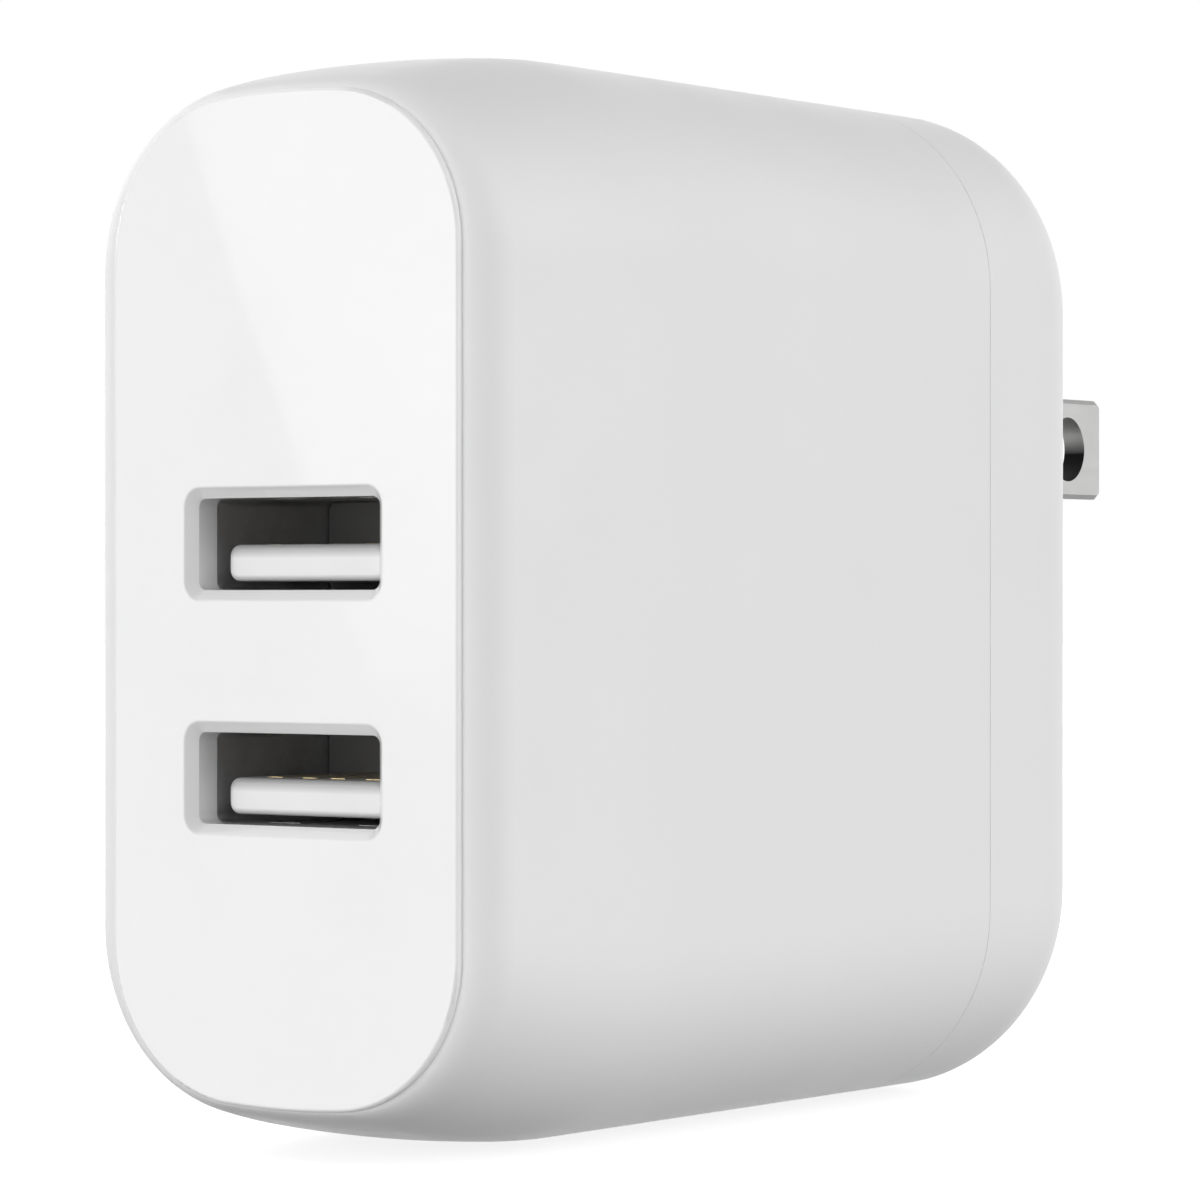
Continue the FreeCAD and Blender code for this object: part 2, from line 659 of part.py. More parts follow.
def make_leaf_springs():
    rise = d.pivot_rise
    touch = d.pivot_depth + d.tail_reach + d.running_gap
    foot = d.tub_depth + d.fit_gap + d.retainer_thick + d.fit_gap
    middle = d.blade_gauge / 2
    for side, node in ((-1, "contact_spring_left"), (1, "contact_spring_right")):
        line = [(touch, rise - d.leaf_low), (touch, rise + d.leaf_flat),
                (foot, rise + d.leaf_knee), (foot, rise + d.leaf_foot)]
        strip(node, side * middle - d.leaf_width / 2, d.leaf_width, line, d.leaf_thick)
    crest = d.pivot_depth + d.rotor_radius + d.turn_gap
    seat = foot - d.fit_gap - d.bar_thick - d.leaf_thick
    line = [(seat, rise - d.detent_foot), (seat, rise - d.detent_knee),
            (crest, rise - d.detent_crest), (crest, rise + d.detent_crest),
            (seat, rise + d.detent_knee), (seat, rise + d.detent_foot)]
    strip("detent_spring", -d.detent_width / 2, d.detent_width, line, d.leaf_thick)


def wire_shape(points, radius, bend):
    """A round wire along straight runs joined by tangent arcs; points are (x, depth, z)."""
    corners = [FreeCAD.Vector(x, -depth, z) for x, depth, z in points]
    edges = []
    start = corners[0]
    for before, corner, after in zip(corners, corners[1:], corners[2:]):
        inward = (before - corner).normalize()
        outward = (after - corner).normalize()
        half_turn = (math.pi - inward.getAngle(outward)) / 2
        trim = bend * math.tan(half_turn)
        arc_start = corner + inward * trim
        arc_end = corner + outward * trim
        to_centre = (inward + outward).normalize()
        arc_middle = corner + to_centre * (bend / math.cos(half_turn) - bend)
        edges.append(Part.LineSegment(start, arc_start).toShape())
        edges.append(Part.Arc(arc_start, arc_middle, arc_end).toShape())
        start = arc_end
    edges.append(Part.LineSegment(start, corners[-1]).toShape())
    path = Part.Wire(edges)
    heading = (corners[1] - corners[0]).normalize()
    ring = Part.Wire(Part.makeCircle(radius, corners[0], heading))
    return path.makePipeShell([ring], True, False)


def make_mains_wires():
    """Leads from the contact springs' feet to the pads on the main board."""
    foot = d.tub_depth + d.fit_gap + d.retainer_thick + d.fit_gap
    lift = (foot + d.leaf_thick + d.solder_gap - d.fit_gap).number
    pad_x = -(d.board_face - d.press_gap).number
    runs = {
        "mains_wire_left": (-d.blade_gauge / 2, d.wire_left_rise, d.wire_left_depth),
        "mains_wire_right": (d.blade_gauge / 2, d.wire_right_rise, d.wire_right_depth),
    }
    for node, (side, rise, depth) in runs.items():
        x = side.number
        z = (d.pivot_rise + rise).number
        points = [(x, lift, z), (x, depth.number, z), (pad_x, depth.number, z)]
        keep(shaped(node + "_lead", wire_shape(points, d.wire_radius.number, d.wire_bend.number)),
             node)


# ---------------------------------------------------------------- USB sockets

SHELL_FRONT = PLATE_BACK - d.fit_gap
SHELL_BACK = SHELL_FRONT - d.shell_depth
PORT_BOARD_FRONT = SHELL_BACK - d.small_gap
PORT_BOARD_BACK = PORT_BOARD_FRONT - d.board_thick


def make_usb_shell(node, middle):
    """The pressed metal liner with two spring tabs in its top and two in its bottom."""
    inner_x = d.port_width / 2
    inner_z = d.shell_height / 2
    outer_x = inner_x + d.shell_sheet
    outer_z = inner_z + d.shell_sheet
    body = new_body(node + "_body")
    pad(body, "XZ_Plane", SHELL_BACK, d.shell_depth,
        rectangle((-outer_x, outer_x), (middle - outer_z, middle + outer_z)))
    round_edges(body, d.port_round + d.shell_sheet, along(Y_AXIS))
    pocket(body, "XZ_Plane", SHELL_BACK - d.past, d.shell_depth + d.past * 2,
           rectangle((-inner_x, inner_x), (middle - inner_z, middle + inner_z)))

    def inside_corner(edge):
        return along(Y_AXIS)(edge) and abs(edge.CenterOfMass.x) > inner_x.number - SAME \
            and abs(abs(edge.CenterOfMass.z - middle.number) - inner_z.number) < SAME

    round_edges(body, d.port_round, inside_corner)
    slit = d.tab_slit
    near = -(SHELL_FRONT - d.tab_start)
    far = near + d.tab_length
    for side in (-1, 1):
        left = side * d.tab_place - d.tab_width / 2
        right = left + d.tab_width
        pocket(body, "XY_Plane", middle - outer_z - d.past, (outer_z + d.past) * 2,
               polygon((left - slit, near - slit), (right + slit, near - slit),
                       (right + slit, far), (right, far), (right, near), (left, near),
                       (left, far), (left - slit, far)))
    keep(body, node)


def make_usb_contacts(node, tongue_top):
    places = (-d.contact_outer, -d.contact_inner, d.contact_inner, d.contact_outer)
    front = SHELL_FRONT + d.tongue_lead - d.contact_back
    back = PORT_BOARD_BACK - d.past
    low = tongue_top - d.contact_sunk
    strips = [block(node + "_strip", (x - d.contact_width / 2, x + d.contact_width / 2),
                    (back, front), (low, low + d.contact_thick)) for x in places]
    return keep(group(node + "_group", strips), node)


def make_usb_insulator(node, middle, contacts):
    """The moulded tongue with the block that closes the back of the liner."""
    low = middle - d.shell_height / 2 + d.tongue_gap
    half = d.tongue_width / 2
    tongue = new_body(node + "_tongue")
    pad(tongue, "XZ_Plane", SHELL_BACK, d.shell_depth + d.tongue_lead,
        rectangle((-half, half), (low, low + d.tongue_thick)))

    tip = -(SHELL_FRONT + d.tongue_lead).number

    def front_rim(edge):
        return edge.BoundBox.YMax < tip + SAME

    round_edges(tongue, d.tongue_round, along(Y_AXIS))
    round_edges(tongue, d.tongue_nose, front_rim)
    base_x = d.port_width / 2 - d.fit_gap
    base_z = d.shell_height / 2 - d.fit_gap
    base = block(node + "_base", (-base_x, base_x), (SHELL_BACK, SHELL_BACK + d.base_depth),
                 (middle - base_z, middle + base_z))
    base = soften("Part::Fillet", node + "_base_round", base, d.port_round, along(Y_AXIS))
    keep(cut(node + "_cut", fuse(node + "_solid", tongue, base), contacts), node)


def make_usb_sockets():
    for suffix, upper in (("upper", True), ("lower", False)):
        middle = port_height_at(upper)
        tongue_top = middle - d.shell_height / 2 + d.tongue_gap + d.tongue_thick
        make_usb_shell("usb_shell_" + suffix, middle)
        contacts = make_usb_contacts("usb_contacts_" + suffix, tongue_top)
        make_usb_insulator("usb_insulator_" + suffix, middle, contacts)


# ---------------------------------------------------------------- boards

LINK_X = d.board_face - d.pin_side / 2 - d.small_gap
LINK_ROWS = (-4, -3, -2, -1, 0)


def make_port_board():
    """The small upright board behind the sockets, drilled for their pins and the header."""
    half = d.port_board_width / 2
    slack = d.drill_slack
    holes = []
    for upper in (True, False):
        low = port_height_at(upper) - d.shell_height / 2 + d.tongue_gap + d.tongue_thick \
            - d.contact_sunk
        for x in (-d.contact_outer, -d.contact_inner, d.contact_inner, d.contact_outer):
            reach = d.contact_width / 2 + slack
            holes.append(rectangle((x - reach, x + reach), (low - slack, low + d.contact_thick + slack)))
    reach = d.pin_side / 2 + slack
    for row in LINK_ROWS:
        z = row * d.pin_pitch
        holes.append(rectangle((-LINK_X - reach, -LINK_X + reach), (z - reach, z + reach)))
    body = new_body("port_board_body")
    pad(body, "XZ_Plane", PORT_BOARD_BACK, d.board_thick,
        rectangle((-half, half), (-d.port_board_low, d.port_board_top)), *holes)
    keep(body, "port_board")


def make_main_board():
    """The tall power board on the left, with a nose that passes above the sockets."""
    high = d.board_half_height
    body = new_body("main_board_body")
    pad(body, "YZ_Plane", -d.board_face - d.board_thick, d.board_thick,
        polygon((-d.board_back, -high), (-d.board_back, high), (-d.board_nose, high),
                (-d.board_nose, d.board_step), (-d.board_front, d.board_step),
                (-d.board_front, -high)))
    keep(body, "main_board")


def make_board_link():
    side = d.pin_side / 2
    pins = [block("link_pin", (-LINK_X - side, -LINK_X + side),
                  (PORT_BOARD_BACK - d.pin_tail, PORT_BOARD_FRONT + d.pin_head),
                  (row * d.pin_pitch - side, row * d.pin_pitch + side)) for row in LINK_ROWS]
    keep(group("link_pins", pins), "board_link_pins")


# ---------------------------------------------------------------- power parts

def make_chips():
    """The four chips that stand on the main board."""
    for node in CHIPS:
        height, near, far, low, high = (getattr(d, f"{node}_{what}") for what in CHIP_SIZES)
        keep(block(node + "_block", (-d.board_face, -d.board_face + height), (near, far),
                   (low, high)), node)


def make_transformer():
    x = d.transformer_place
    depth = d.transformer_depth
    z = -d.transformer_drop
    half_bobbin = d.bobbin_length / 2
    flange = d.bobbin_sheet
    bore = d.core_post + d.small_gap
    bobbin = [rod("bobbin_barrel", "X", d.bobbin_tube, d.bobbin_length, x - half_bobbin, depth, z)]
    for low in (x - half_bobbin, x + half_bobbin - flange):
        bobbin.append(rod("bobbin_flange_disc", "X", d.bobbin_flange, flange, low, depth, z))
    hole = rod("bobbin_hole", "X", bore, d.bobbin_length + d.past * 2, x - half_bobbin - d.past,
               depth, z)
    keep(cut("bobbin_cut", fuse("bobbin_solid", *bobbin), hole), "transformer_bobbin")
    length = d.bobbin_length - flange * 2 - d.small_gap
    start = x - length / 2
    coil = rod("winding_coil", "X", d.winding_radius, length, start, depth, z)
    core = rod("winding_core", "X", d.bobbin_tube + d.press_gap, length + d.past * 2, start - d.past,
               depth, z)
    keep(cut("winding_cut", coil, core), "transformer_winding")
    keep(group("core_halves", [core_half(side) for side in (-1, 1)]), "transformer_core")
    make_transformer_tape()


def core_half(side):
    """One ferrite E half: a back plate, two outer legs and half of the round post."""
    x = d.transformer_place
    depth = d.transformer_depth
    z = -d.transformer_drop
    far = d.core_length / 2
    near = d.core_split / 2
    plate_in = far - d.core_plate
    half = d.core_width / 2
    tall = d.core_height / 2

    def spans(low, high):
        return (x + low, x + high) if side > 0 else (x - high, x - low)

    depths = (depth - half, depth + half)
    plate = block("core_plate_block", spans(plate_in, far), depths, (z - tall, z + tall))
    legs = [block("core_leg_block", spans(near, far), depths, heights)
            for heights in ((z - tall, z - tall + d.core_leg), (z + tall - d.core_leg, z + tall))]
    post_start = spans(near, far)[0]
    post = rod("core_post_rod", "X", d.core_post, far - near, post_start, depth, z)
    return fuse("core_half", plate, post, *legs)


def make_transformer_tape():
    """The thin band around the ferrite halves."""
    half = d.core_length / 2 + d.press_gap
    tall = d.core_height / 2 + d.press_gap
    x = d.transformer_place
    z = -d.transformer_drop
    thick = d.tape_thick
    body = new_body("transformer_tape_body")
    pad(body, "XZ_Plane", d.transformer_depth - d.tape_width / 2, d.tape_width,
        rectangle((x - half - thick, x + half + thick), (z - tall - thick, z + tall + thick)),
        rectangle((x - half, x + half), (z - tall, z + tall)))
    keep(body, "transformer_tape")


def make_capacitors():
    keep(rod("big_can", "front", d.big_can_radius, d.big_can_length, -d.big_can_left,
             d.big_can_place, d.big_can_rise), "input_capacitor_large")
    keep(rod("small_can", "front", d.small_can_radius, d.small_can_length, d.small_can_right,
             d.small_can_place, d.small_can_rise), "input_capacitor_small")
    cans = [rod("out_can", "front", d.out_can_radius, d.out_can_length,
                side * d.out_can_pitch / 2 - d.out_can_left, d.out_can_place, -d.out_can_drop)
            for side in (-1, 1)]
    keep(group("out_cans", cans), "output_capacitors")
    disc = rod("disc_can", "X", d.disc_radius, d.disc_thick, -d.board_face, d.disc_place,
               -d.disc_drop)
    keep(disc, "safety_capacitor")


def make_filter_coil():
    """A drum core with its winding, standing on the main board."""
    x = -d.board_face
    depth = d.coil_place
    z = d.coil_rise
    reach = d.coil_length - d.coil_flange
    core = fuse("drum_solid",
                rod("drum_waist", "X", d.coil_waist, d.coil_length, x, depth, z),
                rod("drum_low", "X", d.coil_radius, d.coil_flange, x, depth, z),
                rod("drum_high", "X", d.coil_radius, d.coil_flange, x + reach, depth, z))
    keep(core, "filter_coil_core")
    length = reach - d.coil_flange - d.small_gap
    start = x + d.coil_flange + d.small_gap / 2
    ring = cut("drum_ring",
               rod("drum_coil", "X", d.coil_radius - d.coil_inset, length, start, depth, z),
               rod("drum_bore", "X", d.coil_waist + d.press_gap, length + d.past * 2,
                   start - d.past, depth, z))
    keep(ring, "filter_coil_winding")


def make_small_parts():
    keep(rod("fuse_can", "X", d.fuse_radius, d.fuse_length, -d.board_face, d.fuse_place,
             d.fuse_rise), "fuse")
    half = d.port_chip_side / 2
    chips = [block("port_chip", (d.port_chip_left, d.port_chip_left + d.port_chip_side),
                   (PORT_BOARD_BACK - d.port_chip_height, PORT_BOARD_BACK),
                   (port_height_at(upper) - half, port_height_at(upper) + half))
             for upper in (True, False)]
    keep(group("port_chips", chips), "charging_controllers")
    resistors = []
    for number in range(RESISTORS):
        low = number * d.resistor_pitch - d.resistor_drop
        resistors.append(block(
            "resistor_chip", (-d.board_face, -d.board_face + d.resistor_height),
            (d.resistor_place, d.resistor_place + d.resistor_width), (low, low + d.resistor_length)))
    keep(group("resistor_chips", resistors), "chip_resistors")


def make_heat_parts():
    """The aluminium spreader beside the transformer and the film behind the main board."""
    face = d.board_face + d.spreader_gap
    low = -d.spreader_drop
    high = low + d.spreader_height
    thick = d.spreader_thick
    body = new_body("heat_spreader_body")
    pad(body, "XZ_Plane", d.spreader_place, d.spreader_length,
        polygon((face, low), (face + thick, low), (face + thick, high + thick),
                (face - d.spreader_lip, high + thick), (face - d.spreader_lip, high), (face, high)))
    keep(body, "heat_spreader")
    back = d.board_face + d.board_thick + d.film_gap
    keep(block("film", (-back - d.sheet_thick, -back),
               (d.film_place, d.film_place + d.film_depth),
               (-d.film_half_height, d.film_half_height)), "insulation_sheet")


# ---------------------------------------------------------------- build, check and write

def check_document():
    DOC.recompute()
    for thing in DOC.Objects:
        if "Invalid" in thing.State or "Error" in thing.State:
            raise RuntimeError(f"{thing.Name} ({thing.Label}) failed to compute")
    for node, thing in SUBPARTS.items():
        if thing.Label != node:
            raise RuntimeError(f"label {thing.Label} is not {node}")
        if thing.Shape.isNull() or not thing.Shape.isValid() or thing.Shape.Volume <= 0:
            raise RuntimeError(f"{node} has no valid shape")


def write_parts():
    os.makedirs(PARTS_FOLDER, exist_ok=True)
    for node, thing in SUBPARTS.items():
        thing.Shape.exportStep(os.path.join(PARTS_FOLDER, node + ".step"))
        print(f"{node}: {len(thing.Shape.Solids)} solid(s), {thing.Shape.Volume:.1f} mm3")


def main():
    make_front_plate()
    make_main_housing()
    make_rear_cap()
    blades = [make_blade(side) for side in (-1, 1)]
    make_blade_rotor(blades)
    make_rotor_retainer()
    make_leaf_springs()
    make_mains_wires()
    make_usb_sockets()
    make_port_board()
    make_main_board()
    make_board_link()
    make_transformer()
    make_capacitors()
    make_filter_coil()
    make_chips()
    make_small_parts()
    make_heat_parts()
    check_document()
    write_parts()


main()
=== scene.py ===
import json
import math

import bmesh
import bpy
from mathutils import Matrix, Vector


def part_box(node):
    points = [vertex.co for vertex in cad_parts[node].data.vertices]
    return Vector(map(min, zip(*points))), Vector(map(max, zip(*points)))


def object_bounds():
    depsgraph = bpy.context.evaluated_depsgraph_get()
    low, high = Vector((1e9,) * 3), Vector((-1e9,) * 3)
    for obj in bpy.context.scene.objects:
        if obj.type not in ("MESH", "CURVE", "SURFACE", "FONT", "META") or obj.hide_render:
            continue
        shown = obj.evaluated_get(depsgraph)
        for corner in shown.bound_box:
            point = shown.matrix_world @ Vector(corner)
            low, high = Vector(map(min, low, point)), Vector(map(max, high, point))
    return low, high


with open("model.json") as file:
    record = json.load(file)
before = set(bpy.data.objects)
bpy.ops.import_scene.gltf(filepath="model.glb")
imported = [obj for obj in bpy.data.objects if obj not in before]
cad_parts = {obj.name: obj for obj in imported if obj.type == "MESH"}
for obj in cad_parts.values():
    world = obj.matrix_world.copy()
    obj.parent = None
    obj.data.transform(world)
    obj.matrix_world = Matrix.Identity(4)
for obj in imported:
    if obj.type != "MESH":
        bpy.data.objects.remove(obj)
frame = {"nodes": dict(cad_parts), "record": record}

CAD_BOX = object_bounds()
NODES = frame["nodes"]
MOUNTS = {row["name"]: row for row in frame["record"]["mounts"]}
SCENE = bpy.context.scene
MM = 0.001


# ---------------------------------------------------------------- node trees

class Tree:
    """A material being built; every method returns an output socket that the next one can take."""

    def __init__(self, name):
        self.material = bpy.data.materials.new(name)
        self.material.use_nodes = True
        self.nodes = self.material.node_tree.nodes
        self.links = self.material.node_tree.links
        self.nodes.clear()
        self.shader = self.nodes.new("ShaderNodeBsdfPrincipled")
        output = self.nodes.new("ShaderNodeOutputMaterial")
        self.links.new(self.shader.outputs["BSDF"], output.inputs["Surface"])
        self.place = self.nodes.new("ShaderNodeTexCoord").outputs["Object"]

    def put(self, value, socket):
        """Link a socket, or set a plain value on the input itself."""
        if isinstance(value, bpy.types.NodeSocket):
            self.links.new(value, socket)
        elif isinstance(value, (tuple, list)) and socket.type == "RGBA":
            socket.default_value = (*value[:3], 1.0)
        else:
            socket.default_value = value

    def set(self, **values):
        """Give the shader's inputs sockets or plain values, by name."""
        for name, value in values.items():
            self.put(value, self.shader.inputs[name.replace("_", " ")])

    def noise_at(self, place, scale, detail, rough):
        """Noise whose features are 1/scale across, read at that place."""
        node = self.nodes.new("ShaderNodeTexNoise")
        node.inputs["Scale"].default_value = scale
        node.inputs["Detail"].default_value = detail
        node.inputs["Roughness"].default_value = rough
        self.links.new(place, node.inputs["Vector"])
        return node.outputs["Fac"]

    def noise(self, size, detail, rough=0.5):
        """Noise whose features are about size metres across."""
        return self.noise_at(self.place, 1.0 / size, detail, rough)

    def drawn_noise(self, scale, detail, rough=0.5):
        """Noise with features of 1/scale metre along each axis."""
        node = self.nodes.new("ShaderNodeMapping")
        node.inputs["Scale"].default_value = scale
        self.links.new(self.place, node.inputs["Vector"])
        return self.noise_at(node.outputs["Vector"], 1.0, detail, rough)

    def spread(self, value, low, high, to_low=0.0, to_high=1.0):
        """Map low..high to to_low..to_high, held at both ends."""
        node = self.nodes.new("ShaderNodeMapRange")
        for name, number in (("From Min", low), ("From Max", high),
                             ("To Min", to_low), ("To Max", to_high)):
            node.inputs[name].default_value = number
        self.links.new(value, node.inputs["Value"])
        return node.outputs["Result"]

    def calc(self, kind, first, second):
        """One step of arithmetic."""
        node = self.nodes.new("ShaderNodeMath")
        node.operation = kind
        self.put(first, node.inputs[0])
        self.put(second, node.inputs[1])
        return node.outputs["Value"]

    def blend(self, share, first, second):
        """Colour that goes from first to second as share goes from 0 to 1."""
        node = self.nodes.new("ShaderNodeMix")
        node.data_type = "RGBA"
        inputs = [s for s in node.inputs if s.type == "RGBA"]
        self.put(share, node.inputs["Factor"])
        self.put(first, inputs[0])
        self.put(second, inputs[1])
        return next(s for s in node.outputs if s.type == "RGBA")

    def axis(self, letter):
        """The position along one axis, in metres."""
        node = self.nodes.new("ShaderNodeSeparateXYZ")
        self.links.new(self.place, node.inputs["Vector"])
        return node.outputs[letter]

    def bump(self, height, depth, strength, over=None):
        """Relief of that depth in metres; over is a bump that it lies on."""
        node = self.nodes.new("ShaderNodeBump")
        node.inputs["Strength"].default_value = strength
        node.inputs["Distance"].default_value = depth
        self.links.new(height, node.inputs["Height"])
        if over:
            self.links.new(over, node.inputs["Normal"])
        return node.outputs["Normal"]


def paint(slot, material):
    """Give the material to every CAD node that the record puts in the slot."""
    for row in frame["record"]["subparts"]:
        if row["material_slot"] == slot:
            data = NODES[row["node"]].data
            data.materials.clear()
            data.materials.append(material)


# ---------------------------------------------------------------- materials

def gloss_white(name, colour, grime, rough):
    """Polished moulding: slow ripples, hairline scuffs and a trace of dust."""
    t = Tree(name)
    tone = t.spread(t.noise(9 * MM, 3), 0.3, 0.7)
    hairs = t.spread(t.drawn_noise((900, 900, 5200), 2), 0.62, 0.78)
    worn = t.calc("MAXIMUM", hairs, t.noise(2 * MM, 4))
    t.set(Base_Color=t.blend(tone, colour, grime), IOR=1.5,
          Roughness=t.spread(worn, 0.62, 1.0, rough, rough + 0.1))
    ripple = t.bump(t.noise(7 * MM, 1), 0.008 * MM, 0.3)
    t.set(Normal=t.bump(hairs, 0.001 * MM, 0.2, ripple))
    return t.material


def satin_white(name, colour, grime, rough):
    """Spark-eroded moulding: fine even grain, faint clouding and handling sheen."""
    t = Tree(name)
    tone = t.spread(t.noise(11 * MM, 4), 0.3, 0.7)
    grain = t.noise(0.16 * MM, 2, 0.6)
    rubbed = t.spread(t.noise(5 * MM, 3, 0.6), 0.45, 0.75)
    t.set(Base_Color=t.blend(tone, colour, grime), IOR=1.5,
          Roughness=t.spread(rubbed, 0, 1, rough, rough - 0.08))
    soft = t.bump(t.noise(14 * MM, 1), 0.03 * MM, 0.25)
    t.set(Normal=t.bump(grain, 0.006 * MM, 0.5, soft))
    return t.material


# Features per metre of the lines and streaks in drawn metal: lengthwise, crosswise.
LINES = (200, 9000)
STREAKS = (60, 1500)
LINE_DEPTH = 0.002 * MM
LINE_STRENGTH = 0.6


def drawn_along(letter, lengthwise, crosswise):
    return tuple(lengthwise if axis == letter else crosswise for axis in "XYZ")


def plating(t, colour, dull, letter):
    """The colour of clouded and streaked plating, and the fine lines that run along the axis."""
    lines = t.drawn_noise(drawn_along(letter, *LINES), 3, 0.6)
    streaks = t.spread(t.drawn_noise(drawn_along(letter, *STREAKS), 2), 0.45, 0.75)
    cloud = t.spread(t.noise(2.2 * MM, 4), 0.35, 0.7)
    return t.blend(t.calc("MAXIMUM", cloud, streaks), colour, dull), lines


def metal(name, colour, dull, rough, letter="Y"):
    """Plated or pressed metal, with its fine lines along one axis."""
    t = Tree(name)
    plated, lines = plating(t, colour, dull, letter)
    t.set(Base_Color=plated, Metallic=1.0,
          Roughness=t.spread(lines, 0.2, 0.8, rough - 0.06, rough + 0.12))
    t.set(Normal=t.bump(lines, LINE_DEPTH, LINE_STRENGTH))
    return t.material


# The punched hole's wall, which carries painted shade: how far past the bore its look is full and
# where it ends, the heights from the hole's middle between which its painted shade goes from its
# dark low colour to its light high one, and the roughness that it adds.
WALL_SKIN = (0.03 * MM, 0.06 * MM)
WALL_SHADE_FADE = (-0.3 * MM, 0.9 * MM)
WALL_SHADE_LOW = (0.015, 0.015, 0.015)
WALL_SHADE_HIGH = (0.75, 0.75, 0.74)
WALL_ROUGH = 0.15


def blade_metal(name, colour, dull, rough):
    """Plated strip with lines along it; the walls of the punched hole carry painted shade, darkest
    low down, and are rougher.
    """
    hole = MOUNTS["blade_holes"]
    radius = hole["dims"]["r_mm"] * MM
    t = Tree(name)
    plated, lines = plating(t, colour, dull, "Y")
    across = t.calc("SUBTRACT", t.axis("Y"), hole["pos_m"][1])
    above = t.calc("SUBTRACT", t.axis("Z"), hole["pos_m"][2])
    squares = t.calc("ADD", t.calc("POWER", across, 2.0), t.calc("POWER", above, 2.0))
    away = t.calc("POWER", squares, 0.5)
    hole_wall_mask = t.spread(away, radius + WALL_SKIN[0], radius + WALL_SKIN[1], 1.0, 0.0)
    # painted shade: the hole's wall goes from very dark low down to light grey at its top
    wall = t.blend(t.spread(above, *WALL_SHADE_FADE), WALL_SHADE_LOW, WALL_SHADE_HIGH)
    t.set(Base_Color=t.blend(hole_wall_mask, plated, wall), Metallic=1.0,
          Roughness=t.calc("ADD", t.spread(lines, 0.2, 0.8, rough - 0.06, rough + 0.1),
                           t.calc("MULTIPLY", hole_wall_mask, WALL_ROUGH)))
    t.set(Normal=t.bump(lines, LINE_DEPTH, LINE_STRENGTH))
    return t.material


def plain(name, colour, other, rough):
    """Dull inner surface, clouded between two colours, with a fine tooth."""
    t = Tree(name)
    cloud = t.spread(t.noise(3.0 * MM, 4), 0.35, 0.7)
    t.set(Base_Color=t.blend(cloud, colour, other),
          Roughness=t.spread(t.noise(0.6 * MM, 3), 0.3, 0.7, rough - 0.05, rough + 0.08))
    t.set(Normal=t.bump(t.noise(0.12 * MM, 3), 0.004 * MM, 0.6))
    return t.material


# A tongue turns dark with painted shade between these shares of the socket's depth. Its bright
# line lies this far below the underside of its contacts, and painted shade of its rounded rims
# greys it between these distances from that line.
TONGUE_DEPTH_SHADE = (0.45, 0.7)
TONGUE_BRIGHT = 1.025 * MM
TONGUE_RIM_SHADE = (0.45 * MM, 0.85 * MM)


def tongue_plastic(name, colour, grime):
    """White tongue with painted shade that greys it along its rims and turns it dark towards the
    block closing the socket.
    """
    t = Tree(name)
    mouth, root = (corner.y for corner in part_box("usb_shell_upper"))
    depth_shade = t.spread(t.axis("Y"), *(mouth + share * (root - mouth) for share in TONGUE_DEPTH_SHADE))
    pitch = MOUNTS["usb_port_upper"]["pos_m"][2] - MOUNTS["usb_port_lower"]["pos_m"][2]
    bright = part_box("usb_contacts_upper")[0].z - TONGUE_BRIGHT
    off = t.calc("PINGPONG", t.calc("SUBTRACT", t.axis("Z"), bright), 0.5 * pitch)
    rim_shade = t.spread(off, *TONGUE_RIM_SHADE)
    white = t.blend(t.spread(t.noise(3 * MM, 1), 0.2, 0.8), colour, grime)
    # painted shade: grey along the rims, and a darker grey towards the back of the socket
    t.set(Base_Color=t.blend(depth_shade, t.blend(rim_shade, white, (0.46, 0.46, 0.46)), (0.2, 0.2, 0.2)),
          Roughness=t.spread(t.noise(0.6 * MM, 1), 0.3, 0.7, 0.28, 0.33))
    t.set(Normal=t.bump(t.noise(0.5 * MM, 2), 0.002 * MM, 0.3))
    return t.material


